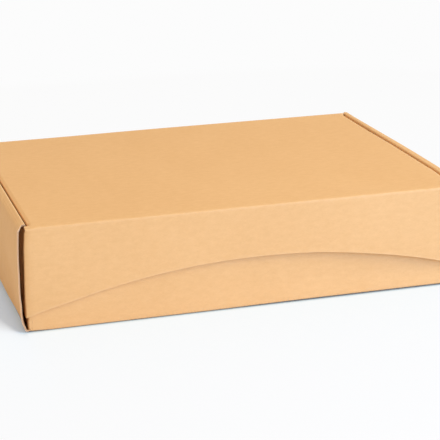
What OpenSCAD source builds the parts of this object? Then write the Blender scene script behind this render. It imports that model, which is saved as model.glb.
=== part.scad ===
// Roll-end shipping box, folded from one sheet of corrugated board and shown closed.
// The width runs along X, the front faces -Y, and the base lies on z = 0.

/* [Box] */
// Width between the side folds of the base
box_w = 400; // [280:1:480]
// Depth over the front and back walls
box_d = 290; // [210:1:380]
// Height to the top of the rolled sides
box_h = 93.5; // [70:0.5:130]

/* [Board] */
// Thickness of the corrugated board
board_t = 1.2; // [1:0.1:1.6]
// Inner radius of every fold
fold_inner_r = 0.5; // [0.3:0.1:1]
// Clearance between two layers of board that lie together
layer_gap = 0.15; // [0.1:0.05:0.4]

/* [Rolled sides] */
// Radius of the arc in which each outer side wall bulges
side_bulge_r = 360; // [300:10:700]
// How far the top of each side leans out past its base fold
side_lean = 3.9; // [2:0.1:5]
// Outer radius of the rounded shoulder between outer wall and rim
shoulder_r = 4.5; // [3:0.1:5.5]
// How far the cut in the front end of each rim reaches back along its inner edge
rim_cut = 7.5; // [7:0.5:12]
// Width of the locking tabs under each inner side wall
lock_tab_w = 30; // [15:1:45]
// Distance between the centres of the two locking tabs of a side
lock_tab_pitch = 130; // [80:1:140]
// Clearance round each locking tab in its slot
lock_slot_gap = 0.4; // [0.2:0.1:0.8]
// How far the locking tabs stop short of the resting surface
lock_tab_lift = 0.3; // [0.1:0.1:1]

/* [Corner tabs] */
// Length of the tabs that fold from the front and back walls into the sides
corner_tab_len = 58; // [30:1:90]
// Radius of the free corners of those tabs
corner_tab_r = 14; // [4:1:24]
// How much narrower a corner tab gets towards its free end, on each edge
corner_tab_taper = 3; // [0:0.5:8]
// Relief between the root of a corner tab and the edges of its wall
corner_relief = 1; // [0.5:0.1:3]

/* [Lid] */
// How far the rims stand above the lid
rim_step = 0.7; // [0.4:0.1:2]
// Gap between each side edge of the lid and the rolled side
lid_side_gap = 1.5; // [0.5:0.1:4]
// Depth of the wider strip along the front fold of the lid
lid_lug = 6; // [3:0.5:6]

/* [Front flap] */
// How far each side fold of the flap lies inside the side fold of the base
flap_inset = 0.8; // [0.7:0.1:1.5]
// Height of the lower corners of the flap above the base
flap_tip_z = 13; // [8:0.5:24]
// Height of the arched lower edge at its middle
flap_arch_z = 46; // [30:1:58]
// Length of the ears that tuck in behind the outer side walls
ear_len = 55; // [30:1:80]
// Radius of the upper free corner of each ear
ear_corner_r = 12; // [4:1:20]
// How far the top edge of each ear lies below the lid
ear_drop = 3; // [2:0.5:8]
// Clearance across the scored fold between lid and flap
hinge_gap = 0.1; // [0.05:0.05:0.3]

/* [Hidden] */
$fn = 96;
arc_fn = 720;
kraft = [0.84, 0.64, 0.4];
fold_r = fold_inner_r + board_t;
layer = board_t + layer_gap;
front_y = -box_d / 2;
back_y = box_d / 2;
lid_top = box_h - rim_step;
wall_top = lid_top - board_t;
// Layers of a rolled side from the outside in: outer wall, ear, corner tab, inner wall
ear_x = box_w / 2 - flap_inset;
tab_x = ear_x - layer;
inner_wall_x = tab_x - layer;
inner_face_x = inner_wall_x - board_t;
lid_x = inner_face_x - lid_side_gap;
flap_y = front_y - layer;
// The fold between lid and flap runs on to the side folds of the flap
fold_x = ear_x - fold_r;
// The bulged wall is an arc that runs tangent into its base fold and its shoulder
base_fold = [box_w / 2 - fold_r, fold_r];
rim_fold = [inner_face_x + fold_r, box_h - fold_r];
top_fold = [max(box_w / 2 + side_lean - shoulder_r, rim_fold[0]), box_h - shoulder_r];
side_arc = side_bulge_r - fold_r;
side_chord = norm(top_fold - base_fold);
side_up = (top_fold - base_fold) / side_chord;
side_out = [side_up[1], -side_up[0]];
side_foot = (side_chord + (pow(side_arc, 2) - pow(side_bulge_r - shoulder_r, 2)) / side_chord) / 2;
side_c = base_fold + side_up * side_foot - side_out * sqrt(pow(side_arc, 2) - pow(side_foot, 2));
base_angle = atan2(base_fold[1] - side_c[1], base_fold[0] - side_c[0]);
top_angle = atan2(top_fold[1] - side_c[1], top_fold[0] - side_c[0]);
// The arched edge of the flap is one arc through both lower corners and the middle
arch_rise = flap_arch_z - flap_tip_z;
arch_r = (ear_x * ear_x + arch_rise * arch_rise) / (2 * arch_rise);

// Board bent about the origin from angle a0 to angle a1, as a flat section
module bent(a0, a1) {
    reach = 2 * fold_r;
    intersection() {
        difference() {
            circle(r = fold_r);
            circle(r = fold_inner_r);
        }
        polygon([[0, 0], reach * [cos(a0), sin(a0)], reach * [cos(a1), sin(a1)]]);
    }
}

// A section drawn in X and Z, run along Y between y0 and y1
module along_y(y0, y1) {
    translate([0, y1, 0]) rotate([90, 0, 0]) linear_extrude(height = y1 - y0) children();
}

// A section drawn in Y and Z, run along X between x0 and x1
module along_x(x0, x1) {
    translate([x0, 0, 0]) rotate([90, 0, 90]) linear_extrude(height = x1 - x0) children();
}

module both_sides() {
    children();
    mirror([1, 0, 0]) children();
}

module both_ends() {
    children();
    mirror([0, 1, 0]) children();
}

// Outline of a tab from its root at the origin, with tapered edges and round free corners
module tab_outline(len, z0, z1, taper, r) {
    polygon([
        [0, z0], [len - r, z0 + taper], [len, z0 + taper + r],
        [len, z1 - taper - r], [len - r, z1 - taper], [0, z1]
    ]);
    translate([len - r, z0 + taper + r]) circle(r = r);
    translate([len - r, z1 - taper - r]) circle(r = r);
}

// All that a rolled side encloses, out to a distance r from the centres of its sharp folds
module roll_inside(r) {
    reach = 2 * (side_arc + r);
    top = box_h - fold_r;
    for (c = [base_fold, rim_fold]) translate(c) circle(r = r);
    polygon([
        rim_fold - [r, 0], [rim_fold[0] - r, fold_r - r], [base_fold[0], fold_r - r],
        top_fold, [top_fold[0], top + r], [rim_fold[0], top + r]
    ]);
    intersection() {
        union() {
            translate(top_fold) circle(r = shoulder_r - fold_r + r);
            intersection() {
                translate(side_c) circle(r = side_arc + r, $fn = arc_fn);
                translate(side_c) polygon([
                    [0, 0], reach * [cos(base_angle), sin(base_angle)],
                    reach * [cos(top_angle), sin(top_angle)]
                ]);
            }
        }
        translate([rim_fold[0], 0]) square(box_w);
    }
}

// Outer wall, rim and inner wall with their folds, as one band of board
module roll_section() {
    difference() {
        roll_inside(fold_r);
        roll_inside(fold_inner_r);
        translate([0, -board_t]) square([base_fold[0], layer + board_t]);
    }
}

module locking_tabs(grow_w, grow_t, low, high) {
    for (side = [-1, 1])
        translate([
            inner_face_x - grow_t,
            side * lock_tab_pitch / 2 - lock_tab_w / 2 - grow_w,
            low
        ])
            cube([board_t + 2 * grow_t, lock_tab_w + 2 * grow_w, high - low]);
}

// Plan of the slanted cut in a rim, where the ear and the corner of the lid go in
module rim_notch() {
    outer = top_fold[0] + shoulder_r / 2;
    translate([0, 0, wall_top - fold_r]) linear_extrude(height = box_h) polygon([
        [lid_x, front_y - layer], [outer, front_y - layer], [outer, front_y],
        [ear_x - layer / 2, front_y + rim_cut], [lid_x, front_y + rim_cut]
    ]);
}

module rolled_side() {
    inner_end = back_y - layer;
    difference() {
        along_y(front_y, back_y) roll_section();
        both_ends() translate([inner_face_x - board_t, inner_end, 0])
            cube([2 * board_t + layer_gap / 2, 2 * layer, box_h - fold_r]);
        rim_notch();
    }
    locking_tabs(0, 0, lock_tab_lift, layer + board_t);
}

module base() {
    difference() {
        translate([-base_fold[0], front_y + fold_r, 0])
            cube([2 * base_fold[0], box_d - 2 * fold_r, board_t]);
        both_sides() locking_tabs(lock_slot_gap, lock_slot_gap, -board_t, 2 * board_t);
    }
}

// A corner tab lies in its own layer of the rolled side
module corner_tab() {
    low = fold_r + corner_relief;
    high = wall_top - corner_relief;
    translate([tab_x - fold_r, front_y + fold_r, low])
        linear_extrude(height = high - low) bent(-90, 0);
    along_x(tab_x - board_t, tab_x)
        translate([front_y + fold_r, 0])
            tab_outline(corner_tab_len - fold_r, low, high, corner_tab_taper, corner_tab_r);
}

module front_wall(top) {
    along_x(-tab_x, tab_x) translate([front_y + fold_r, fold_r]) bent(180, 270);
    translate([fold_r - tab_x, front_y, fold_r])
        cube([2 * (tab_x - fold_r), board_t, top - fold_r]);
    both_sides() corner_tab();
}

module back_wall() {
    mirror([0, 1, 0]) front_wall(lid_top - fold_r);
    along_x(-lid_x, lid_x) translate([back_y - fold_r, lid_top - fold_r]) bent(0, 45);
}

module tray() {
    color(kraft) {
        base();
        front_wall(wall_top);
        back_wall();
        both_sides() rolled_side();
    }
}

module lid() {
    color(kraft) {
        along_x(-lid_x, lid_x) {
            translate([flap_y + fold_r, wall_top])
                square([back_y - flap_y - 2 * fold_r, board_t]);
            translate([back_y - fold_r, lid_top - fold_r]) bent(45, 90);
        }
        along_x(-fold_x, fold_x) {
            translate([flap_y + fold_r, wall_top]) square([lid_lug - fold_r, board_t]);
            translate([flap_y + fold_r, lid_top - fold_r]) bent(90, 135);
        }
    }
}

// The lower edge of each ear follows the arc that it swings through
module ear() {
    translate([ear_x - fold_r, flap_y + fold_r, flap_tip_z])
        linear_extrude(height = lid_top - ear_drop - flap_tip_z) bent(-90, 0);
    along_x(ear_x - board_t, ear_x) intersection() {
        translate([flap_y + fold_r, 0])
            tab_outline(ear_len - fold_r, flap_tip_z, lid_top - ear_drop, 0, ear_corner_r);
        translate([flap_y, lid_top]) circle(r = lid_top - flap_tip_z, $fn = arc_fn);
    }
}

module front_flap() {
    color(kraft) {
        along_x(-fold_x, fold_x) translate([flap_y + fold_r, lid_top - fold_r]) difference() {
            bent(135, 180);
            rotate(135) translate([0, -board_t]) square([2 * fold_r, board_t + hinge_gap]);
        }
        along_y(flap_y, flap_y + board_t) difference() {
            translate([-fold_x, 0]) square([2 * fold_x, lid_top - fold_r]);
            translate([0, flap_arch_z - arch_r]) circle(r = arch_r, $fn = arc_fn);
        }
        both_sides() ear();
    }
}

tray();
lid();
front_flap();
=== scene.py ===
import functools
import math

import bpy
import numpy as np
from mathutils import Matrix, Vector

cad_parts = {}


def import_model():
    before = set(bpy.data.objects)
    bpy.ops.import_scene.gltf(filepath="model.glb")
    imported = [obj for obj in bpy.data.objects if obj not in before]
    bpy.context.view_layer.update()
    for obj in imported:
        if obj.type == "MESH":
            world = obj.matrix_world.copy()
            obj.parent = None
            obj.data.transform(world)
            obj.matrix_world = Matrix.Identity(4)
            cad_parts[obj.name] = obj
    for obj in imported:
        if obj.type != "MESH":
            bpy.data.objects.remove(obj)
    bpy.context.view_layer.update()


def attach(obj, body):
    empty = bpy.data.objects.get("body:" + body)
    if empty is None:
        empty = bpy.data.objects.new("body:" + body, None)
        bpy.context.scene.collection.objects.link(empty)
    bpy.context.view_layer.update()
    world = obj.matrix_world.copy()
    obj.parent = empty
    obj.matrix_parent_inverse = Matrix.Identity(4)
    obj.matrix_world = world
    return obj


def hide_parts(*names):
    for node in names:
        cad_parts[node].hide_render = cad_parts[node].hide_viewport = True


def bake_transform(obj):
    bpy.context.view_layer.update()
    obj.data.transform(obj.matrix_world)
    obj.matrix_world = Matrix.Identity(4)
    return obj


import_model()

# Sizes in millimetres, the same as in the part's source
T, LAYER = 1.2, 1.35                        # board, and board with its clearance
R = 1.7                                     # outer radius of a fold
W2, D2, H = 200.0, 145.0, 93.5              # half the width, half the depth, height
LID, WALL = 92.8, 91.6                      # top of the lid, top of the front wall
BULGE = 360.0                               # radius of the outer side walls
EAR_X, FLAP_Y = 199.2, -146.35              # outer faces of the ears and of the flap
LUG_Y = -140.35                             # where the lid gets wider at its front
TIP_Z, ARCH_Z = 13.0, 46.0                  # the flap's lower edge at its corners and middle
EAR_LEN, EAR_TOP, EAR_R = 55.0, 89.8, 12.0          # ears: length, top edge, free corner
TAB_LEN, TAB_R, TAB_TAPER = 58.0, 14.0, 3.0         # corner tabs: length, free corners, taper
LOCK_Y, LOCK_HALF, LOCK_GAP = 65.0, 15.0, 0.4       # locking tabs: middle, half width, room
LOCK_LIFT = 0.3                             # how far they stop short of the floor

# Sizes that follow the photograph, at most 1.5 mm off the source's plain shapes
TAB_X, IN_X = 196.9, 194.9                  # corner tabs' outer face, the sides' inner face
LID_X, FOLD_X, BACK_X = 193.2, 196.9, 194.5         # half width of the lid and its two folds
SHOULDER, RIM_CUT = 3.9, 9.0                # radius of a shoulder, cut in the front of a rim
FOOT_FLAT = 0.6                             # flat strip of a rolled side beside its base fold
INNER_END = 1.6                             # how far an inner wall stops short of the back
LID_EDGE = 3.2                              # strip along the lid's side edges that is turned down
EAR_FOLD = 1.25                             # radius of the tighter folds beside the flap

# The rolled sides, left and right: lean and tilt of the rim, how much lighter the folds are,
# seeds, uv start
SIDE_LEAN, RIM_TILT, SIDE_LIGHTENING = (3.8, 2.8), (20.0, 5.0), (1, 2)
WALL_SEED, RIM_SEED, SIDE_UV = (17, 31), (9, 5), (700, 0)
TAB_UV = 400                                # uv start of the corner tabs

# Give of the card in millimetres, as the photograph shows it
HOLLOW = 1.1                                # outer side walls, in at their middle
RIM_BOW, RIM_RISE = 1.3, 0.35               # the right rim, outward and up
LID_BOW = 1.2                               # the lid's edge beside it, outward
BACK_SAG, LEFT_SAG = 0.3, 0.6               # back fold, all along and more towards the left
FRONT_BOW, RIGHT_BOW = 3.0, 1.0             # front wall, pressed in under the flap
FRONT_WARP, RIGHT_WARP = 0.2, 0.65          # front fold of the base, lifted off the floor
LUG_DROP, FOLD_DROP = 0.9, 0.42             # front corners and front fold of the lid
FOLD_PRESS, ARCH_PRESS = 0.75, 0.14         # flap, in beside its side folds and along the arch
EAR_DIP, EAR_OUT = 1.3, 2.8                 # ears, in at their roots and out further back
EAR_BACK = 0.75                             # ears' folds, backward below their top
TAB_OUT = 0.65                              # corner tabs, outward past their folds
ARCH_SLOPE, ARCH_STEEPER = 0.0085, 0.0095   # rise of the arch per mm to the right, more at right
ARCH_END, ARCH_BEFORE = 3.4, 0.5            # arch, up at its right end and down before it

# The board's make-up and raw edges
FLUTE, LINER, MEDIUM = 2.4, 0.3, 0.22       # pitch of the flutes, thickness of the papers
GROOVE, CUT, JOINED = 0.2, 0.4, 0.04        # hollow between the liners: flutes seen, cut, none
LID_CUT, INNER_CUT, STRIP_CUT = 0.5, 0.3, 0.35      # the same at the lid, inner walls and fold
EDGE_PUSH = (0.16, 0.06)                    # outer liner at a cut edge, first and second row
BURR = -0.7                                 # share of that push by which a burr stands out
INSET = 0.05                                # medium, short of the board's solid part
SEAM = 1.5                                  # flat strip beside a fold that is a piece of its own
HAIR = (0.05,)                              # extra row that keeps a fold's edge crisp
FINE = (0.25, 0.7, 1.6, 3.5, 7.0)           # extra rows near a cut edge
SHARP = math.radians(38)                    # an edge that turns further than this stays sharp
LINER_MAT, CUT_MAT, MEDIUM_MAT, INSIDE_MAT = range(4)


# ---------------------------------------------------------------- paths and sheets
def ticks(a, b, step, low=(), high=()):
    """Places from a to b about a step apart, and more at distances low from a and high from b."""
    inner = np.linspace(a, b, max(2, int(abs(b - a) / step) + 1))
    sign = 1 if b > a else -1
    extra = [a + sign * d for d in low] + [b - sign * d for d in high]
    pts = np.unique(np.round(np.concatenate([inner, extra]), 4))
    closest = 0.015
    keep = [pts[0]]
    for p in pts[1:]:
        if p - keep[-1] > closest:
            keep.append(p)
    keep[-1] = pts[-1]
    return np.array(keep)[::sign]


def seg(p0, p1, normal, step, low=(), high=()):
    """A straight run of a section as points and normals."""
    p0, p1 = np.array(p0, float), np.array(p1, float)
    size = np.linalg.norm(p1 - p0)
    t = ticks(0, size, step, low, high)[:, None] / size
    return p0 + (p1 - p0) * t, np.repeat([np.array(normal, float)], len(t), 0)


def arc(c, r, a0, a1, n):
    """A fold about c from angle a0 to a1, in degrees."""
    a = np.radians(np.linspace(a0, a1, n + 1))
    d = np.stack([np.cos(a), np.sin(a)], 1)
    return np.array(c) + r * d, d


def rounded_end(x, y, r, n):
    """The last run of a tab, closer together as its free corner of radius r turns."""
    far = np.array([(x, y + r * math.sin(a)) for a in np.linspace(0, math.pi / 2, n)])
    far[-1, 1] -= 0.02                  # just short of where the edge turns upright
    return far, np.repeat([[1.0, 0.0]], n, 0)


def rounding(y, start, r):
    """How much a free corner of radius r, which begins at start, takes off the edge at y."""
    over = np.clip(y - start, 0, r)
    return r - np.sqrt(np.maximum(r ** 2 - over ** 2, 0))


def path(parts):
    """Joins parts of (points, normals), value; the value is kept for every point."""
    P, N, V = [], [], []
    for k, ((p, n), value) in enumerate(parts):
        s = 0 if k == 0 else 1
        P.append(p[s:])
        N.append(n[s:])
        V.append([value] * (len(p) - s))
    return np.concatenate(P), np.concatenate(N), np.concatenate(V)


def length_along(P):
    return np.concatenate([[0], np.cumsum(np.linalg.norm(np.diff(P, axis=0), axis=1))])


def grid(a, b):
    return np.meshgrid(a, b, indexing="ij")


def stack(x, y, z):
    """Three coordinates, of which one or more is a whole grid, as one grid of points."""
    return np.stack(np.broadcast_arrays(x, y, z), -1)


def column(values, like):
    """One value for each row, over the whole grid."""
    return np.broadcast_to(values[:, None], like.shape)


def unit(v):
    return v / np.maximum(np.linalg.norm(v, axis=-1, keepdims=True), 1e-9)


def smooth(x, a, b):
    """0 up to a, 1 from b on."""
    t = np.clip((x - a) / (b - a), 0, 1)
    return t * t * (3 - 2 * t)


def fall(x, a, b):
    """1 up to a, 0 from b on."""
    return 1 - smooth(x, a, b)


def hump(x, a, b, c, d):
    """Rises from a to b and falls from c to d."""
    return smooth(x, a, b) * fall(x, c, d)


def swell(a, b, seed, lo=90.0, hi=260.0):
    """A gentle seeded unevenness between about -1 and 1 over two coordinates in millimetres."""
    r = np.random.default_rng(seed)
    waves, gain = 7, 1.6
    out = 0
    for _ in range(waves):
        k = 2 * math.pi / r.uniform(lo, hi)
        way, phase = r.uniform(0, math.pi), r.uniform(0, 2 * math.pi)
        out = out + np.sin(k * (a * math.cos(way) + b * math.sin(way)) + phase)
    return out / waves * gain


# ---------------------------------------------------------------- material nodes
def new_material(name):
    mat = bpy.data.materials.new(name)
    mat.use_nodes = True
    tree = mat.node_tree
    tree.nodes.clear()
    out = tree.nodes.new("ShaderNodeOutputMaterial")
    return mat, tree, out


def add(tree, kind, **values):
    node = tree.nodes.new(kind)
    for key, value in values.items():
        if key in node.inputs:
            node.inputs[key].default_value = value
        else:
            setattr(node, key, value)
    return node


def feed(tree, socket, value):
    """Sets a socket to a number or colour, or links it to another socket."""
    if isinstance(value, (int, float, tuple)):
        socket.default_value = value
    else:
        tree.links.new(value, socket)


def maths(tree, op, a, b=None, clamp=False):
    n = add(tree, "ShaderNodeMath", operation=op, use_clamp=clamp)
    feed(tree, n.inputs[0], a)
    if b is not None:
        feed(tree, n.inputs[1], b)
    return n.outputs[0]


def chain(tree, op, *values):
    """Sum, product or largest of several values."""
    return functools.reduce(lambda a, b: maths(tree, op, a, b), values)


def centred(tree, value, gain):
    return maths(tree, "MULTIPLY", maths(tree, "SUBTRACT", value, 0.5), gain)


def beyond(tree, value, edge):
    return maths(tree, "MAXIMUM", maths(tree, "SUBTRACT", value, edge), 0.0)


def fading(tree, distance, length):
    """1 at distance 0, and less by a factor e for every length."""
    return maths(tree, "EXPONENT", maths(tree, "MULTIPLY", distance, -1 / length))


def ramp(tree, value, low, high):
    """Smoothly 0 to 1 while value goes from low to high."""
    n = add(tree, "ShaderNodeMapRange", interpolation_type="SMOOTHSTEP")
    for key, v in (("Value", value), ("From Min", low), ("From Max", high)):
        feed(tree, n.inputs[key], v)
    return n.outputs[0]


def scaled_noise(tree, coord, scale, detail, rough=0.55):
    m = add(tree, "ShaderNodeMapping")
    m.inputs["Scale"].default_value = scale
    tree.links.new(coord, m.inputs["Vector"])
    n = add(tree, "ShaderNodeTexNoise", Scale=1.0, Detail=detail, Roughness=rough)
    tree.links.new(m.outputs[0], n.inputs["Vector"])
    return n.outputs["Fac"]


def mix_colour(tree, fac, a, b):
    n = add(tree, "ShaderNodeMix", data_type="RGBA", blend_type="MIX")
    for key, v in (("Factor", fac), ("A", a), ("B", b)):
        feed(tree, [s for s in n.inputs if s.name == key and s.enabled][0], v)
    return [s for s in n.outputs if s.enabled][0]


def mix_shader(tree, fac, a, b):
    n = add(tree, "ShaderNodeMixShader")
    for socket, v in zip(n.inputs, (fac, a, b)):
        tree.links.new(v, socket)
    return n.outputs[0]


def principled(tree, out, specular, roughness):
    bsdf = add(tree, "ShaderNodeBsdfPrincipled", Roughness=roughness)
    bsdf.inputs["Specular IOR Level"].default_value = specular
    tree.links.new(bsdf.outputs[0], out.inputs["Surface"])
    return bsdf


def bump(tree, bsdf, height, strength, distance):
    n = add(tree, "ShaderNodeBump", Strength=strength, Distance=distance)
    tree.links.new(height, n.inputs["Height"])
    tree.links.new(n.outputs[0], bsdf.inputs["Normal"])


def straight_rays(tree):
    """1 for what the camera sees itself, in a gloss or through something clear."""
    ray = add(tree, "ShaderNodeLightPath").outputs
    return chain(tree, "MAXIMUM", ray["Is Camera Ray"], ray["Is Glossy Ray"],
                 ray["Is Transmission Ray"])


# ---------------------------------------------------------------- board materials
KRAFT_DARK, KRAFT_LIGHT = (0.770, 0.425, 0.160, 1), (0.885, 0.525, 0.222, 1)
# Colour that worn folds and the painted highlights along the lid's fold, the lid's edges, cut ends
# and the flap's arch go towards.
SPECK, WEAR_AND_HIGHLIGHT_TONE = (0.42, 0.21, 0.08, 1), (0.96, 0.66, 0.36, 1)


def liner_material():
    """The outer paper: mottled kraft with fibres, specks, worn folds, painted highlights along the
    lid's fold and cut edges, and a trace of the flutes.
    """
    mat, tree, out = new_material("kraft_liner")
    bsdf = principled(tree, out, specular=0.28, roughness=0.72)
    uv = add(tree, "ShaderNodeUVMap", uv_map="sheet").outputs[0]
    clouds = scaled_noise(tree, uv, (14, 9, 1), 3)
    mottle = scaled_noise(tree, uv, (120, 260, 1), 4, 0.6)
    fibre = scaled_noise(tree, uv, (420, 1900, 1), 3, 0.65)
    tone = chain(tree, "ADD", centred(tree, clouds, 0.55), centred(tree, mottle, 0.9),
                 centred(tree, fibre, 1.0))
    tone = maths(tree, "ADD", tone, 0.5, clamp=True)
    colour = mix_colour(tree, tone, KRAFT_DARK, KRAFT_LIGHT)
    speck = scaled_noise(tree, uv, (900, 1500, 1), 1, 0.4)
    speck = maths(tree, "MULTIPLY", maths(tree, "GREATER_THAN", speck, 0.74), 0.10)
    colour = mix_colour(tree, speck, colour, SPECK)
    # Wear and painted highlights: lighter where the attribute says, in patches.
    wear_and_highlight_attr = add(tree, "ShaderNodeAttribute", attribute_name="wear_and_highlight").outputs["Fac"]
    patchy = maths(tree, "ADD", maths(tree, "MULTIPLY", mottle, 0.35), 0.02)
    lightening = maths(tree, "MULTIPLY", wear_and_highlight_attr, patchy)
    colour = mix_colour(tree, lightening, colour, WEAR_AND_HIGHLIGHT_TONE)
    tree.links.new(colour, bsdf.inputs["Base Color"])
    rough = maths(tree, "ADD", maths(tree, "MULTIPLY", fibre, 0.16), 0.62)
    tree.links.new(rough, bsdf.inputs["Roughness"])
    wave_scale = math.pi / 10 / (FLUTE * 0.001)     # one band of the texture for each flute
    flute = add(tree, "ShaderNodeTexWave", bands_direction="X", Scale=wave_scale)
    tree.links.new(uv, flute.inputs["Vector"])
    height = chain(tree, "ADD", maths(tree, "MULTIPLY", fibre, 0.5),
                   maths(tree, "MULTIPLY", flute.outputs["Fac"], 0.35),
                   maths(tree, "MULTIPLY", mottle, 0.6))
    bump(tree, bsdf, height, strength=0.35, distance=0.00006)
    return mat


def paper_material(name, dark, light, roughness):
    """Plain paper for the inner liner, cut edges and fluted medium."""
    mat, tree, out = new_material(name)
    bsdf = principled(tree, out, specular=0.1, roughness=roughness)
    coord = add(tree, "ShaderNodeTexCoord").outputs["Object"]
    noise = scaled_noise(tree, coord, (1800, 1800, 1800), 4, 0.7)
    tree.links.new(mix_colour(tree, noise, dark, light), bsdf.inputs["Base Color"])
    bump(tree, bsdf, noise, strength=0.4, distance=0.00008)
    return mat


liner = liner_material()
inside = paper_material("inner_liner", (0.44, 0.22, 0.08, 1), (0.54, 0.29, 0.11, 1), 0.85)
cut = paper_material("cut_liner", (0.76, 0.49, 0.28, 1), (0.86, 0.60, 0.37, 1), 0.9)
medium = paper_material("fluted_medium", (0.62, 0.38, 0.20, 1), (0.78, 0.51, 0.29, 1), 0.92)
BOARD_MATERIALS = (liner, cut, medium, inside)      # in the order of LINER_MAT and the rest


# ---------------------------------------------------------------- boards
def wave(P, N, D, depth):
    """The fluted medium that shows in a raw edge, as one thin closed ribbon."""
    margin, steps = 0.3, 12             # clear of the corners, points in each flute
    s = length_along(P)
    keep = np.concatenate([[True], np.diff(s) > 1e-6])
    s, P, N, D = s[keep], P[keep], N[keep], D[keep]
    q = np.arange(margin, s[-1] - margin, FLUTE / steps)
    P, N, D = (np.stack([np.interp(q, s, A[:, k]) for k in range(3)], 1) for A in (P, N, D))
    N, D = unit(N), unit(D)
    along = unit(np.gradient(P, q, axis=0))
    amp = (T - 2 * LINER - MEDIUM) / 2
    k = 2 * math.pi / FLUTE
    slope = (amp * k * np.cos(k * q))[:, None]
    centre = P + N * (amp * np.sin(k * q))[:, None]
    across = unit(N - slope * along) * MEDIUM / 2
    near, far = D * INSET, D * (depth - INSET)
    rows = np.stack([centre + across + near, centre + across + far,
                     centre - across + far, centre - across + near], 1)
    idx = np.arange(4 * len(q)).reshape(-1, 4)
    quads = []
    for a in range(4):
        b = (a + 1) % 4
        quads.append(np.stack([idx[:-1, a], idx[1:, a], idx[1:, b], idx[:-1, b]], 1))
    quads = np.concatenate(quads + [idx[:1, ::-1], idx[-1:, :]])
    if np.dot(np.cross(along[0], D[0]), N[0]) < 0:
        quads = quads[:, ::-1]
    return rows.reshape(-1, 3), quads


def press_edges(P, N, side, burr):
    """Presses the outer liner in along cut edges, or lets it stand out as a burr."""
    for k, hollow in enumerate(side):
        rows, norm = (P, N) if k < 2 else (P.transpose(1, 0, 2), N.transpose(1, 0, 2))
        if k % 2 == 1:
            rows, norm = rows[::-1], norm[::-1]
        way = BURR if k in burr else 1.0
        is_cut = hollow > JOINED
        for m, push in enumerate(EDGE_PUSH):
            rows[m] -= norm[m] * (way * push * is_cut)[:, None]


def hole_walls(quads, gone, count):
    """The board's thickness round the cells that are cut out of it."""
    walls = []
    for i, j in zip(*np.nonzero(gone)):
        ring = quads[i, j]
        for (di, dj), a, b in (((0, -1), 0, 1), ((1, 0), 1, 2), ((0, 1), 2, 3), ((-1, 0), 3, 0)):
            if not gone[i + di, j + dj]:
                walls.append((ring[a], ring[b], ring[b] + count, ring[a] + count))
    return np.array(walls)


def board(name, P, N, uv, depth, wear_and_highlight, waves=(), gone=None, burr=()):
    """A sheet of board with its outer face through P. N are the normals, wear_and_highlight is how
    much lighter the outer face is, from wear and from painted highlights.

    depth gives, for the sides i0, i1, j0 and j1, how far the raw edge is hollow between its two
    liners; a side that runs on has next to none. waves lists each side with first and last row
    where the medium shows, gone marks cells that are cut out, and burr names sides with a burr."""
    nu, nv = P.shape[:2]
    side = [np.broadcast_to(np.asarray(d, float), (n,)) for d, n in zip(depth, (nv, nv, nu, nu))]
    mid = P - N * T / 2
    inward = [unit(mid[1] - mid[0]), unit(mid[-2] - mid[-1]),
              unit(mid[:, 1] - mid[:, 0]), unit(mid[:, -2] - mid[:, -1])]
    P = P.copy()
    press_edges(P, N, side, burr)
    lower = P - N * T

    # both faces, with the walls of the holes
    count = nu * nv
    idx = np.arange(count).reshape(nu, nv)
    quads = np.stack([idx[:-1, :-1], idx[1:, :-1], idx[1:, 1:], idx[:-1, 1:]], -1)
    flat = quads.reshape(-1, 4) if gone is None else quads[~gone]
    faces = [flat, flat[:, ::-1] + count]
    mats = [np.full(len(flat), LINER_MAT), np.full(len(flat), INSIDE_MAT)]
    if gone is not None:
        faces.append(hole_walls(quads, gone, count))
        mats.append(np.full(len(faces[-1]), CUT_MAT))

    # the raw edge all round: outer liner, hollow with its floor, inner liner
    loop = [(i, 0) for i in range(nu)] + [(nu - 1, j) for j in range(1, nv)]
    loop += [(i, nv - 1) for i in range(nu - 2, -1, -1)] + [(0, j) for j in range(nv - 2, 0, -1)]
    li, lj = np.array(loop).T
    m = len(loop)
    move = np.zeros((m, 3))
    for k, on in enumerate((li == 0, li == nu - 1, lj == 0, lj == nv - 1)):
        at = (lj if k < 2 else li)[on]
        move[on] += inward[k][at] * side[k][at][:, None]
    upper_in = P[li, lj] - N[li, lj] * LINER
    lower_in = lower[li, lj] + N[li, lj] * LINER
    rings = [upper_in, upper_in + move, lower_in + move, lower_in]
    ids = [idx[li, lj]] + [2 * count + k * m + np.arange(m) for k in range(4)]
    ids.append(idx[li, lj] + count)
    for a, b, mat in zip(ids, ids[1:], (CUT_MAT, MEDIUM_MAT, MEDIUM_MAT, MEDIUM_MAT, CUT_MAT)):
        faces.append(np.stack([np.roll(a, -1), a, b, np.roll(b, -1)], 1))
        mats.append(np.full(m, mat))
    faces = [np.concatenate(faces)]
    i, j = nu // 2, nv // 2
    if np.dot(np.cross(P[i + 1, j] - P[i, j], P[i, j + 1] - P[i, j]), N[i, j]) < 0:
        faces[0] = faces[0][:, ::-1]

    verts = [P.reshape(-1, 3), lower.reshape(-1, 3)] + rings
    all_uv = [uv.reshape(-1, 2)] * 2 + [uv[li, lj]] * 4
    all_wear_and_highlight = [wear_and_highlight.reshape(-1), wear_and_highlight.reshape(-1) * 0.3] + [np.ones(m)] * 4
    total = 2 * count + 4 * m
    for k, a, b in waves:
        row = ((0, slice(a, b)), (-1, slice(a, b)), (slice(a, b), 0), (slice(a, b), -1))[k]
        v, q = wave(mid[row], N[row], inward[k][a:b], side[k][a:b].max())
        verts.append(v)
        faces.append(q + total)
        mats.append(np.full(len(q), MEDIUM_MAT))
        all_uv.append(v[:, :2])
        all_wear_and_highlight.append(np.zeros(len(v)))
        total += len(v)
    return make_piece(name, *(np.concatenate(v) for v in (verts, faces, mats, all_uv, all_wear_and_highlight)))


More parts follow.
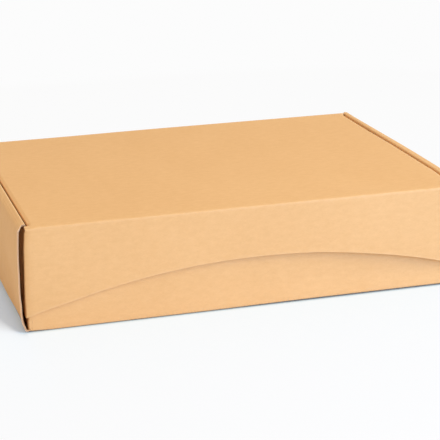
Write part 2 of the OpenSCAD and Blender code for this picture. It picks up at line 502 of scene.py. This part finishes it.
def make_piece(name, verts, faces, mats, uv, wear_and_highlight):
    """A Blender object in metres from arrays in millimetres."""
    mesh = bpy.data.meshes.new(name)
    mesh.from_pydata((verts * 0.001).tolist(), [], faces.tolist())
    for mat in BOARD_MATERIALS:
        mesh.materials.append(mat)
    mesh.polygons.foreach_set("material_index", mats.astype(np.int32))
    layer = mesh.uv_layers.new(name="sheet")
    corner_uv = (uv[faces.reshape(-1)] * 0.001).astype(np.float32)
    layer.data.foreach_set("uv", corner_uv.reshape(-1))
    attr = mesh.attributes.new("wear_and_highlight", "FLOAT", "POINT")
    attr.data.foreach_set("value", wear_and_highlight.astype(np.float32))
    mesh.shade_smooth()
    mesh.set_sharp_from_angle(angle=SHARP)
    mesh.update()
    ob = bpy.data.objects.new(name, mesh)
    bpy.context.scene.collection.objects.link(ob)
    return ob


# ---------------------------------------------------------------- give that several pieces share
# Limits inside smooth, fall and hump are places in millimetres.
def tuck_middle(y, z):
    """How far the layers behind the root of an ear lie further in, half way up."""
    return 1.5 * fall(y + D2, 22, 42) * hump(z, 25, 40, 60, 80)


def tuck_ends(y, z):
    """How far a front corner tab and its wall lie further in at the top, and out at the bottom."""
    head = 2.2 * smooth(z, 60, 84) * fall(y + D2, 40, 56)
    foot = 0.9 + 0.6 * smooth(z, 1.7, 4) - 1.1 * smooth(z, 4, 13)
    return head - foot * fall(z, 14, 32) * fall(y + D2, 3, 12)


def foot_lift(x, y, z):
    """How far the lower left corner at the front is bent up."""
    return 0.7 * smooth(-x, 176, 199) * smooth(-y, 122, 144) * fall(z, 2, 25)


def rim_bow(y):
    """Share of the outward bow of the right rim and the lid's edge beside it."""
    return smooth(D2 - y, 0, 190) * fall(-y, 85, 130)


def over_fold(z):
    """0 below the lid's front fold, 1 at the top of the lid."""
    return np.clip((z - (LID - R)) / R, 0, 1)


def fold_drop(y, z):
    """How far the front of the lid bends down towards its fold."""
    return FOLD_DROP * over_fold(z) * np.exp(-np.maximum(y - FLAP_Y - R, 0) / 3.4)


def lug_drop(x):
    """How far the lid's front corners bend down."""
    return LUG_DROP * smooth(np.abs(x), 186, 196)


# ---------------------------------------------------------------- rolled sides
def side_path(lean, tilt):
    """Section of a right rolled side: points and normals in X and Z, with the wear of each."""
    drop = 0.25 + 0.0625 * tilt                         # of the shoulder's top
    B = np.array([W2 - R, R])                           # middle of the base fold
    S = np.array([W2 + lean, H - drop]) - SHOULDER      # of the shoulder
    a = math.radians(tilt)
    n = np.array([math.sin(a), math.cos(a)])            # the rim falls towards the outer wall
    level = S @ n + SHOULDER
    F = np.array([IN_X + R, (level - R - n[0] * (IN_X + R)) / n[1]])    # of the inner fold
    F[1] = min(F[1], H - R)
    d = np.linalg.norm(S - B)
    e = (S - B) / d
    out = np.array([e[1], -e[0]])
    rb, rs = BULGE - R, BULGE - SHOULDER
    foot = (d * d + rb * rb - rs * rs) / (2 * d)
    C = B + e * foot - out * math.sqrt(rb * rb - foot * foot)           # of the bulge
    a0, a1 = (math.degrees(math.atan2(*(p - C)[::-1])) for p in (B, S))
    return path([
        (seg((B[0] - FOOT_FLAT, 0), (B[0], 0), (0, -1), 1), 0.0),
        (arc(B, R, -90, a0, 10), 0.8),
        (arc(C, BULGE, a0, a1, 30), 0.0),
        (arc(S, SHOULDER, a1, 90 - tilt, 18), 0.15),
        (seg(S + n * SHOULDER, F + n * R, n, 0.5), 0.3),
        (arc(F, R, 90 - tilt, 180, 10), 0.5),
        (seg((IN_X, F[1]), (IN_X, LAYER), (-1, 0), 6, (0.1,), (0.05, 0.25, 0.7, 1.6)), 0.0),
    ])


def outer_give(qx, qz, Y, seed):
    """Outer wall: hollow and uneven in its middle, with its foot and waist out at both ends."""
    to_end = D2 - np.abs(Y)
    hollow = hump(qz, 3, 22, 74, 90) * smooth(to_end, 2, 80)
    give = hollow * (-HOLLOW - 0.45 * swell(Y, qz, seed))
    foot, waist = hump(qz, 1.5, 9, 16, 46), hump(qz, 24, 36, 39, 53)
    give = give + foot * (0.85 * fall(to_end, 0, 22) + 0.6 * fall(to_end, 0, 12))
    give = give + waist * (0.5 * fall(to_end, 0, 24) - 1.1 * hump(to_end, 8, 24, 50, 95))
    return give * (qx > W2 - R)


def rim_give(qx, qz, Y, seed):
    """Rim: pressed in by up to a sixth of a millimetre, in short waves."""
    on_rim = smooth(qz, 91.0, 92.0) * (qx > IN_X + 0.3)
    return -on_rim * (0.08 + 0.08 * swell(Y, 3.0, seed, 25, 90))


def shoulder_give(qx, qz, turn, flare):
    """Shoulder: its score is pressed in, and its front end squarer. turn is the normals' angle."""
    score = 0.4 * smooth(qx, W2 + 0.7, W2 + 1.9) * smooth(qz, 80, 88) * (1 - flare)
    squarer = 0.45 * flare * np.exp(-((turn - 38) / 24) ** 2) * smooth(qz, 82, 86)
    return (squarer - score) * ((qx > IN_X + R) & (qz > 60))


def inner_give(qz, Y):
    """Inner wall: leans in below its fold, and behind the root of the ear."""
    return 2.0 * smooth(H - R - qz, 0.8, 3.4) * smooth(qz, 40, 84) + tuck_middle(Y, qz)


def rolled_side(name, sign):
    """Outer wall, rim and inner wall of a side as one band; sign is -1 on the left."""
    k = 0 if sign < 0 else 1
    Q, M, lightening = side_path(SIDE_LEAN[k], RIM_TILT[k])
    s = length_along(Q)
    y = ticks(-D2, D2, 6, FINE, FINE)
    for edge in (-LOCK_Y - LOCK_HALF, -LOCK_Y + LOCK_HALF, LOCK_Y - LOCK_HALF, LOCK_Y + LOCK_HALF):
        y = np.concatenate([y, [edge - 0.03, edge + 0.03]])
    y = np.unique(np.round(y, 3))
    S, Y = grid(s, y)
    qx, qz = Q[:, :1], Q[:, 1:]
    inner = (qx < IN_X + 0.01) & (qz < H - R - 0.05)
    to_end = D2 - np.abs(Y)
    flare = smooth(-Y, 134, 146)        # the shoulder is squarer at its front end

    # the front end is flush with the flap, but for the slanted cut in the rim
    slant = np.where(qz > 88, np.interp(qx, [199.0, 202.8], [RIM_CUT, 0]), 0)
    front_end = np.where(inner, D2 - RIM_CUT, D2 + 1.2 * smooth(qz, 0, 10) - slant)
    back_end = np.where(inner, D2 - INNER_END, D2)
    P = stack(qx, np.where(Y < 0, Y / D2 * front_end, Y / D2 * back_end), qz)
    N = stack(M[:, :1], 0 * S, M[:, 1:])

    turn = np.degrees(np.arctan2(M[:, 1:], M[:, :1]))
    lift = outer_give(qx, qz, Y, WALL_SEED[k]) + rim_give(qx, qz, Y, RIM_SEED[k])
    lift = lift + shoulder_give(qx, qz, turn, flare) + inner_give(qz, Y) * inner
    P = P + N * lift[..., None]
    steeper = 1.2 * (1 - flare) * smooth(qz, 82, 91.5) * smooth(qx, 197, 201)
    if sign > 0:
        bow = rim_bow(Y)
        steeper = steeper * (1 - bow)
        follows = np.where(inner, np.maximum(fall(-Y, 60, 92), smooth(qz, 86.5, 90)), 1)
        P[..., 0] += RIM_BOW * bow * smooth(qz, 68, 86) * follows
        P[..., 2] += RIM_RISE * bow * smooth(qx, 197, 199) * smooth(qz, 82, 90)
    P[..., 0] -= steeper
    low = smooth(qx, 198.2, 199.8) * fall(qz, 12, 24)
    P[..., 0] += low * (0.8 * fall(to_end, 0, 10) - 0.9 * hump(to_end, 5, 18, 50, 95))
    if sign < 0:
        P[..., 2] += foot_lift(-P[..., 0], P[..., 1], P[..., 2])
    tab = np.abs(np.abs(y) - LOCK_Y) < LOCK_HALF        # the last rows reach into the slots
    P[-1, tab, 2] = LOCK_LIFT
    P[-2, tab, 2] = 2 * LOCK_LIFT

    # Folds lighter from wear; the outer face lighter at its cut ends, a painted highlight.
    wear_and_highlight = np.maximum(column(lightening, S) * SIDE_LIGHTENING[k], 0.8 * np.exp(-to_end / 0.5))
    uv = np.stack([S + SIDE_UV[k], Y], -1)
    if sign < 0:
        P[..., 0] *= -1
        N[..., 0] *= -1
    n = len(s)
    depth = (JOINED, INNER_CUT, GROOVE, GROOVE)
    ob = board(name, P, N, uv, depth, wear_and_highlight, ((2, 0, n), (3, 0, n)))
    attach(ob, "box")


# ---------------------------------------------------------------- base, walls and lid
def main_path():
    """Section from the top of the front wall to the lid's front fold, in Y and Z.

    Each point has half the sheet's width there and its wear."""
    low, high = R + 1.0, WALL - 1.0     # between these the corner tabs take over
    wide = TAB_X - R                    # flat width next to the corner folds
    body = wide - SEAM
    base_x = W2 - R - FOOT_FLAT
    front, back, top = -D2 + R, D2 - R, LID - R
    base, down = seg((front, 0), (back, 0), (0, -1), 6, HAIR)
    slot = LOCK_HALF + LOCK_GAP
    ends = [-LOCK_Y - slot, -LOCK_Y + slot, LOCK_Y - slot, LOCK_Y + slot]
    y = np.unique(np.concatenate([base[:, 0], ends]))
    base = np.stack([y, 0 * y], 1), np.repeat(down[:1], len(y), 0)
    return path([
        (seg((-D2, WALL), (-D2, high), (-1, 0), 6, (0.25, 0.7)), (wide, 0)),
        (seg((-D2, high), (-D2, low), (-1, 0), 6, HAIR), (body, 0)),
        (seg((-D2, low), (-D2, R), (-1, 0), 6, HAIR), (body, 0)),
        (arc((front, R), R, 180, 270, 9), (TAB_X, 0.8)),
        (base, (base_x, 0)),
        (arc((back, R), R, 270, 360, 9), (TAB_X, 0.8)),
        (seg((D2, R), (D2, low), (1, 0), 6, HAIR), (wide, 0)),
        (seg((D2, low), (D2, high), (1, 0), 6, HAIR), (body, 0)),
        (seg((D2, high), (D2, top), (1, 0), 6, HAIR), (wide, 0)),
        (arc((back, top), R, 0, 90, 10), (BACK_X, 0.8)),
        (seg((back, LID), (LUG_Y, LID), (0, 1), 6, (), HAIR), (LID_X, 0)),
        (seg((LUG_Y, LID), (FLAP_Y + R + SEAM, LID), (0, 1), 1, HAIR), (FOLD_X, 0)),
    ]), base_x, body


def turn_down(P, N, X, Y, edges):
    """Bends the side edges of the lid down, less at its front corners and at the back fold."""
    amount = smooth(Y, LUG_Y - 0.5, LUG_Y + 5) * smooth(D2 - R - Y, 0, 4)
    amount = np.clip(amount, 1e-3, 1)
    bent_by = amount * math.pi / 2
    radius = LID_EDGE * (1 + 0.571 * amount) / bent_by
    share = np.clip(1 - (LID_X - np.abs(X)) / LID_EDGE, 0, 1)
    a = bent_by * share
    on = edges & (share > 0)
    side = np.sign(X)
    P[..., 0] = np.where(on, side * (LID_X - LID_EDGE + radius * np.sin(a)), P[..., 0])
    P[..., 2] = np.where(on, LID - radius * (1 - np.cos(a)), P[..., 2])
    N[..., 0] = np.where(on, side * np.sin(a), N[..., 0])
    N[..., 2] = np.where(on, np.cos(a), N[..., 2])


def main_sheet():
    """Base, front and back wall and lid as one sheet."""
    (Q, M, V), base_x, body = main_path()
    width, lightening = V[:, 0], V[:, 1]
    s = length_along(Q)
    s = s - s[-1]
    # across the sheet, as shares of half its width: 6 mm apart, closer at the sides and the slots
    close = (0.0012, 0.0032, 0.0055, 0.0085, 0.0125, 0.018)
    t = ticks(-1, 1, 6 / 198, close, close)
    slot = np.array([IN_X - LOCK_GAP, IN_X + T + LOCK_GAP]) / base_x
    t = np.array([v for v in t if min(abs(abs(v) - slot)) > 0.0008])
    t = np.unique(np.concatenate([t, slot, -slot]))
    S, share = grid(s, t)
    X = share * width[:, None]
    Y, Z = column(Q[:, 0], X), column(Q[:, 1], X)
    P = stack(X, Y, Z)
    N = stack(0 * X, M[:, :1], M[:, 1:])
    lid, front, back = Z > LID - 0.01, Y < -D2 + 0.01, Y > D2 - 0.01
    turn_down(P, N, X, Y, lid & (width[:, None] == LID_X))

    # along the normals
    to_fold, to_back, to_side = Y - (FLAP_Y + R + SEAM), D2 - R - Y, body - np.abs(X)
    lift = 0.32 * swell(X, Y, 3) * smooth(to_fold, 0, 14) * smooth(to_back, 0, 14)
    lift = lid * (lift - fold_drop(Y, Z) - lug_drop(X) * fall(Y, FLAP_Y + R, FLAP_Y + 9))
    wall = hump(Z, 2, 16, 84, 91) * smooth(to_side, 0, 20)
    lift = lift - front * wall * (0.2 + 0.15 * swell(X, Z, 4))
    lift = lift - back * wall * (0.5 + 0.3 * swell(X, Z, 8))
    bow = FRONT_BOW * smooth(X, -170, 120) + RIGHT_BOW * smooth(X, 20, 140)
    lift = lift - front * bow * hump(Z, 1.5, 20, 80, 91) * smooth(to_side, 0, 30)
    P = P + N * lift[..., None]

    # up, down and sideways
    warp = FRONT_WARP * smooth(X, -180, -100) + RIGHT_WARP * smooth(X, -60, 60)
    P[..., 2] += warp * smooth(-Y, 95, 144) * fall(Z, 2, 25) + foot_lift(X, Y, Z)
    sag = BACK_SAG + LEFT_SAG * smooth(-X, 0, 130)
    P[..., 2] -= sag * smooth(Y, 70, 140) * smooth(Z, 40, 90)
    beside = rim_bow(Y) * smooth(X, 140, LID_X) * lid
    P[..., 0] += LID_BOW * beside
    P[..., 2] += RIM_RISE * beside
    tucked = (Y < -D2 + R + 0.01) & (Z < 91)
    tuck = (tuck_middle(-D2, Z) + tuck_ends(-D2, Z)) * smooth(np.abs(X), 120, 195)
    P[..., 0] -= np.sign(X) * tucked * tuck

    # Folds lighter from wear; the lid lighter towards its side edges, a painted highlight.
    wear_and_highlight = np.maximum(column(lightening, X), lid * np.exp(-(width[:, None] - np.abs(X)) / 1.5))
    uv = np.stack([X, S], -1)
    mid_y = (Y[:-1, :-1] + Y[1:, 1:]) / 2
    mid_x = np.abs(share[:-1, :-1] + share[1:, 1:]) / 2
    gone = (Z[:-1, :-1] < 1e-6) & (Z[1:, 1:] < 1e-6)        # the slots in the base
    gone &= (np.abs(np.abs(mid_y) - LOCK_Y) < LOCK_HALF + LOCK_GAP)
    gone &= (mid_x > slot[0]) & (mid_x < slot[1])
    cut_side = np.isin(width, (LID_X, FOLD_X, BACK_X, TAB_X))       # the lid and all folds
    hollow = np.where(cut_side, LID_CUT, JOINED)
    ob = board("base_walls_lid", P, N, uv, (CUT, JOINED, hollow, hollow), wear_and_highlight, (), gone)
    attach(ob, "box")
    return ob


def corner_tab(name, sx, sy):
    """A tab with its fold, made at the right front; sx and sy are the signs of its corner."""
    left, at_front = sx < 0, sy < 0
    low, high = (1.75, 88.6) if at_front else (R + 1.0, WALL - 1.0)     # lower at the front
    c = (TAB_X - R, -D2 + R)
    knee = -D2 + TAB_LEN - TAB_R
    Q, M, lightening = path([
        (seg((c[0] - SEAM, -D2), (c[0], -D2), (0, -1), 1), 0.0),
        (arc(c, R, -90, 0, 8), 0.8),
        (seg((TAB_X, c[1]), (TAB_X, knee), (1, 0), 5), 0.0),
        (rounded_end(TAB_X, knee, TAB_R, 9), 0.0),
    ])
    s = length_along(Q)
    run = Q[:, 1] - c[1]
    off = TAB_TAPER * np.clip(run / (TAB_LEN - TAB_R - R), 0, 1) + rounding(Q[:, 1], knee, TAB_R)
    zb, zt = low + off, high - off
    t = ticks(0, 1, 0.07, (0.004, 0.012), (0.004, 0.012))
    S, share = grid(s, t)
    Z = zb[:, None] + (zt - zb)[:, None] * share
    P = stack(Q[:, :1], Q[:, 1:], Z)
    N = stack(M[:, :1], M[:, 1:], 0 * Z)
    P = P + N * (TAB_OUT * smooth(run, 1, 8))[:, None, None]
    if at_front:
        P[..., 0] -= tuck_middle(P[..., 1], Z) + tuck_ends(P[..., 1], Z)
    if at_front and left:
        P[..., 2] += foot_lift(-P[..., 0], P[..., 1], Z)
    uv = np.stack([c[0] - SEAM + S, -Z - TAB_UV * sy], -1)
    if left:
        P[..., 0] *= -1
        N[..., 0] *= -1
        uv[..., 0] *= -1
    if not at_front:
        P[..., 1] *= -1
        N[..., 1] *= -1
    ob = board(name, P, N, uv, (JOINED, CUT, CUT, CUT), column(lightening, Z))
    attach(ob, "box")


# ---------------------------------------------------------------- front flap and its fold
def hinge_strip():
    """The fold between lid and flap. Returns its length."""
    c = (FLAP_Y + R, LID - R)
    Q, M, lightening = path([
        (seg((c[0] + SEAM, LID), (c[0], LID), (0, 1), 1), 0.0),
        (arc(c, R, 90, 180, 12), 1.0),
        (seg((FLAP_Y, c[1]), (FLAP_Y, c[1] - SEAM), (-1, 0), 1), 0.0),
    ])
    s = length_along(Q)
    x = ticks(-FOLD_X, FOLD_X, 2.0, FINE[:2], FINE[:2])
    S, X = grid(s, x)
    P = stack(X, Q[:, :1], Q[:, 1:])
    N = stack(0 * X, M[:, :1], M[:, 1:])
    in_arc = column(lightening > 0.5, X)
    r = np.random.default_rng(12)
    wavelengths = (7.3, 11.9, 19.0, 31.0, 64.0)
    rough = sum(np.sin(2 * math.pi * X / w + r.uniform(0, 6.28)) for w in wavelengths) / 5
    P = P - N * (in_arc * (0.06 + 0.06 * rough))[..., None]
    P[..., 2] -= fold_drop(P[..., 1], P[..., 2]) + lug_drop(X) * over_fold(P[..., 2])
    # The fold lighter from wear, with a painted highlight that grows towards the right.
    wear_and_highlight = np.clip(in_arc * (0.45 + 0.35 * smooth(X, -190, 150) + 0.25 * rough), 0, 1)
    uv = np.stack([X, S], -1)
    ob = board("lid_front_fold", P, N, uv, (JOINED, JOINED, STRIP_CUT, STRIP_CUT), wear_and_highlight)
    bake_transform(ob)
    return s[-1]


def arch_edge(x):
    """Height of the flap's lower edge: one arc, a little higher and flatter at its right end."""
    rise = ARCH_Z - TIP_Z
    radius = (EAR_X ** 2 + rise ** 2) / (2 * rise)
    z = ARCH_Z - radius + np.sqrt(radius ** 2 - x ** 2)
    slope = ARCH_SLOPE * x + ARCH_STEEPER * np.maximum(x, 0)
    z = z + slope * fall(np.abs(x), 150, 196)
    return z + ARCH_END * hump(x, 148, 195, 187, 198) - ARCH_BEFORE * hump(x, 60, 100, 110, 155)


def flap_spread(z):
    """How much further out than the ear's plain place the flap's sides stand, in millimetres."""
    return (-0.9 + 1.8 * (91 - z) / 76 - 0.6 * smooth(z, 73, 86) - 0.8 * smooth(z, 87, 91)
            - 0.7 * fall(z, 12, 36))


def front_flap(fold_len):
    """Panel and both ears; fold_len is the length of the fold above it, for its uv."""
    top = LID - R - SEAM
    r = EAR_FOLD
    c = (EAR_X - r, FLAP_Y + r)
    knee = FLAP_Y + EAR_LEN - EAR_R
    Q, M, lightening = path([
        (seg((0, FLAP_Y), (c[0], FLAP_Y), (0, -1), 3, (), (0.7, 1.5, 2.5, 3.5, 4.5, 7)), 0.0),
        (arc(c, r, -90, 0, 9), 0.8),
        (seg((EAR_X, c[1]), (EAR_X, knee), (1, 0), 3), 0.0),
        (rounded_end(EAR_X, knee, EAR_R, 10), 0.0),
    ])
    mirror = np.array([-1.0, 1.0])
    Q = np.concatenate([(Q * mirror)[:0:-1], Q])
    M = np.concatenate([(M * mirror)[:0:-1], M])
    lightening = np.concatenate([lightening[:0:-1], lightening])
    s = length_along(Q)
    s = s - s[len(s) // 2]
    dy = Q[:, 1] - FLAP_Y
    panel = dy < 1e-6
    swing = LID - np.sqrt((LID - TIP_Z) ** 2 - dy ** 2)     # the arc that an ear's edge runs on
    zb = np.where(panel, arch_edge(Q[:, 0]), swing)
    zt = np.where(panel, top, EAR_TOP - rounding(Q[:, 1], knee, EAR_R))
    t = ticks(0, 1, 0.045, (0.004, 0.012, 0.028), (0.004, 0.012, 0.028))
    S, share = grid(s, t)
    Z = zb[:, None] + (zt - zb)[:, None] * share
    X, Y = column(Q[:, 0], Z), column(Q[:, 1], Z)
    P = stack(X, Y, Z)
    N = stack(M[:, :1], M[:, 1:], 0 * Z)

    # the panel: uneven, pressed in beside its folds and along the arch
    to_side, below = c[0] - np.abs(X), top - Z
    bend = smooth(below, 0, 3)
    lift = smooth(below, 0, 16) * smooth(to_side, 0, 24) * (-0.22 + 0.2 * swell(X, Z, 21))
    lift = lift - FOLD_PRESS * np.clip(1 - to_side / 5, 0, 1) ** 2 * bend
    lift = lift - ARCH_PRESS * np.exp((zb[:, None] - Z) / 5)

    # the ears: in at the root, and out into the bulge of the side wall that hides the rest
    run = np.clip(Y - c[1], 0, None)
    root = EAR_DIP * hump(run, 0, 3.5, 14, 21) * smooth(Z, 24, 36)
    rest = EAR_OUT * smooth(run, 16, 25) * smooth(Z, 8, 40) * (1 - 0.35 * smooth(Z, 82, 90))
    on_panel = column(panel, Z)
    lift = np.where(on_panel, lift, rest - root)
    P = P + N * lift[..., None]
    back = (EAR_BACK + 0.3 * np.clip(-to_side, 0, r)) * bend * fall(run, 0, 14)
    P[..., 1] += ~on_panel * back
    P[..., 0] *= 1 + flap_spread(Z) / EAR_X * fall(run, 14, 26)

    # Folds lighter from wear; the flap lighter just above its arch, a painted highlight.
    wear_and_highlight = np.maximum(column(lightening, Z), 0.9 * np.exp(-(Z - zb[:, None]) / 0.6))
    uv = np.stack([S, fold_len + top - Z], -1)
    n, ear_n = len(s), (~panel).sum() // 2
    depth = (CUT, CUT, GROOVE, np.where(panel, JOINED, GROOVE))
    ob = board("front_flap_panel", P, N, uv, depth, wear_and_highlight,
               ((2, 0, n), (3, 0, ear_n), (3, n - ear_n, n)), None, (2,))
    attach(ob, "flap")
    return ob


main = main_sheet()
rolled_side("side_left", -1)
rolled_side("side_right", 1)
for side_name, sx in (("left", -1), ("right", 1)):
    for end_name, sy in (("front", -1), ("back", 1)):
        corner_tab("corner_tab_%s_%s" % (side_name, end_name), sx, sy)
flap = front_flap(hinge_strip())
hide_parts("tray", "lid")
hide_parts("front_flap")


# ---------------------------------------------------------------- studio, in metres
WHITE = (0.973, 0.973, 0.973, 1)            # background, where the floor shows no shade
FLOOR, NEAR_BOX = (0.935, 0.935, 0.935, 1), (0.74, 0.92, 0.98, 1)   # floor, and its bluer colour near the box, painted to cancel the box's warm bounce light
SHADE_GLOW, SHADE_BLUE = 0.11, (0.0, 0.25, 1.0, 1)  # painted skylight: a blue glow in the shade beside the box
FOOT_X, FOOT_Y = 0.1985, 0.1445             # half the footprint of the box
NEAR, CONTACT_SHADOW, SIDE_SHADOW = 0.09, 0.0011, 0.005    # reach of the shade, widths of the painted contact shadow and of the painted shadow line beside the sides
CONTACT_SHADOW_DARK, SIDE_SHADOW_DARK = 0.45, 0.28         # strength of those painted shadows
CAMERA_AT = (-0.39745, -1.38913, 0.49179)
CAMERA_TURN = (16.5177, 17.5095, 0.6318)    # yaw, pitch and roll in degrees
LENS = 129.876                              # focal length in millimetres on a 36 mm sensor


def floor_masks(tree):
    """Four masks of the floor: plain where it is bare background, near close to the box,
    painted_shadow for a painted contact shadow where the box stands and beside its sides, and side
    to its left and right."""
    geo = add(tree, "ShaderNodeNewGeometry")
    xyz = add(tree, "ShaderNodeSeparateXYZ")
    tree.links.new(geo.outputs["Position"], xyz.inputs[0])
    x, y = xyz.outputs["X"], xyz.outputs["Y"]
    ax, ay = maths(tree, "ABSOLUTE", x), maths(tree, "ABSOLUTE", y)
    dx, dy = beyond(tree, ax, FOOT_X), beyond(tree, ay, FOOT_Y)
    squares = maths(tree, "ADD", maths(tree, "MULTIPLY", dx, dx), maths(tree, "MULTIPLY", dy, dy))
    d = maths(tree, "SQRT", squares)

    # The floor's shading fades into the background on every side: at once in front of the box,
    # and over a length of room beside it.
    far = ramp(tree, d, 0.2, 0.7)
    behind = maths(tree, "MULTIPLY", ramp(tree, y, 0.05, 0.25), 0.95)
    right = maths(tree, "MULTIPLY", ramp(tree, x, 0.2, 0.3), 0.85)
    room = maths(tree, "MULTIPLY", ramp(tree, ax, 0.202, 0.222), 0.075)
    ahead = maths(tree, "ADD", maths(tree, "MULTIPLY", y, -1), room)
    ahead = maths(tree, "SUBTRACT", ahead, 0.1455)
    ahead = maths(tree, "DIVIDE", ahead, maths(tree, "ADD", room, 0.004))
    front = maths(tree, "MULTIPLY", ramp(tree, ahead, 0.0, 1.0), 0.82)
    plain = chain(tree, "MAXIMUM", far, behind, right, front, 0.10)

    # Painted contact shadow along the box's foot, and a painted shadow line beside its sides.
    painted_shadow = maths(tree, "MULTIPLY", fading(tree, d, CONTACT_SHADOW), CONTACT_SHADOW_DARK)
    beside = maths(tree, "MULTIPLY", fading(tree, d, SIDE_SHADOW), ramp(tree, dx, 0, 0.002))
    painted_shadow = maths(tree, "MAXIMUM", painted_shadow, maths(tree, "MULTIPLY", beside, SIDE_SHADOW_DARK))
    return plain, fading(tree, d, NEAR), painted_shadow, ramp(tree, ax, 0.19, 0.21)


def floor_material():
    """A pale floor that keeps the box's shadow and fades into the background; it has a painted
    contact shadow, a bluer painted tint near the box and a painted blue glow in the shade beside
    it.
    """
    mat, tree, out = new_material("studio_floor")
    plain, near, painted_shadow, side = floor_masks(tree)
    diffuse = add(tree, "ShaderNodeBsdfDiffuse")
    # Painted correction of light: the floor bluer near the box, against the warm light the box
    # throws back.
    tree.links.new(mix_colour(tree, near, FLOOR, NEAR_BOX), diffuse.inputs["Color"])
    glow = add(tree, "ShaderNodeEmission", Color=WHITE, Strength=1.0)
    seen = mix_shader(tree, plain, diffuse.outputs[0], glow.outputs[0])
    # Painted skylight: a blue glow on the floor in the shade beside the box, though no lamp is
    # there.
    skylight_glow = add(tree, "ShaderNodeEmission", Color=SHADE_BLUE)
    skylight_strength = maths(tree, "MULTIPLY", maths(tree, "SUBTRACT", 1.0, plain), SHADE_GLOW)
    skylight_strength = maths(tree, "MULTIPLY", skylight_strength, maths(tree, "MULTIPLY", near, side))
    tree.links.new(skylight_strength, skylight_glow.inputs["Strength"])
    lit = add(tree, "ShaderNodeAddShader")
    tree.links.new(seen, lit.inputs[0])
    tree.links.new(skylight_glow.outputs[0], lit.inputs[1])
    # Painted contact shadow: black mixed in where the box stands and beside its sides, and a
    # greyer floor there in the light it throws back.
    dark = add(tree, "ShaderNodeEmission", Color=(0, 0, 0, 1))
    with_painted_shadow = mix_shader(tree, painted_shadow, lit.outputs[0], dark.outputs[0])
    bounce = add(tree, "ShaderNodeBsdfDiffuse")
    colour = mix_colour(tree, painted_shadow, (0.95, 0.95, 0.95, 1), (0.5, 0.5, 0.5, 1))
    tree.links.new(colour, bounce.inputs["Color"])
    pick = mix_shader(tree, straight_rays(tree), bounce.outputs[0], with_painted_shadow)
    tree.links.new(pick, out.inputs["Surface"])
    return mat


def stage():
    mesh = bpy.data.meshes.new("floor")
    s, z = 6.0, -0.0001
    mesh.from_pydata([(-s, -s, z), (s, -s, z), (s, s, z), (-s, s, z)], [], [(0, 1, 2, 3)])
    floor = bpy.data.objects.new("floor", mesh)
    floor.data.materials.append(floor_material())
    bpy.context.scene.collection.objects.link(floor)


def world():
    w = bpy.data.worlds.new("studio")
    bpy.context.scene.world = w
    w.use_nodes = True
    tree = w.node_tree
    tree.nodes.clear()
    out = add(tree, "ShaderNodeOutputWorld")
    light = add(tree, "ShaderNodeBackground", Color=(1.04, 0.985, 0.955, 1), Strength=0.66)
    seen = add(tree, "ShaderNodeBackground", Color=(0.975, 0.975, 0.975, 1), Strength=1.0)
    mix = mix_shader(tree, straight_rays(tree), light.outputs[0], seen.outputs[0])
    tree.links.new(mix, out.inputs["Surface"])


def area_light(name, place, target, size, power, colour):
    data = bpy.data.lights.new(name, "AREA")
    data.shape = "DISK"
    data.size = size
    data.energy = power
    data.color = colour
    ob = bpy.data.objects.new(name, data)
    ob.location = place
    ob.rotation_mode = "QUATERNION"
    ob.rotation_quaternion = (Vector(target) - Vector(place)).to_track_quat("-Z", "Y")
    bpy.context.scene.collection.objects.link(ob)


def camera():
    """The photograph's camera, from a perspective fit of the folds."""
    yaw, pitch, roll = (math.radians(v) for v in CAMERA_TURN)
    ahead = Vector((math.sin(yaw) * math.cos(pitch), math.cos(yaw) * math.cos(pitch),
                    -math.sin(pitch)))
    level = Vector((math.cos(yaw), -math.sin(yaw), 0))
    plumb = ahead.cross(level)
    right = math.cos(roll) * level + math.sin(roll) * plumb
    down = -math.sin(roll) * level + math.cos(roll) * plumb
    data = bpy.data.cameras.new("camera")
    data.sensor_width = 36
    data.lens = LENS
    data.clip_start = 0.01
    data.clip_end = 50
    ob = bpy.data.objects.new("camera", data)
    turn = Matrix((right, -down, -ahead)).transposed()
    ob.matrix_world = Matrix.Translation(CAMERA_AT) @ turn.to_4x4()
    bpy.context.scene.collection.objects.link(ob)
    bpy.context.scene.camera = ob


stage()
world()
camera()
area_light("key", place=(0.8, -0.95, 1.7), target=(0, 0, 0.05), size=1.3, power=18.0,
           colour=(0.925, 0.89, 0.74))
area_light("fill", place=(1.1, -1.2, 0.42), target=(0.05, -0.1, 0.05), size=0.8, power=6.6,
           colour=(0.59, 1.24, 2.75))
bpy.context.scene.view_settings.view_transform = "Standard"
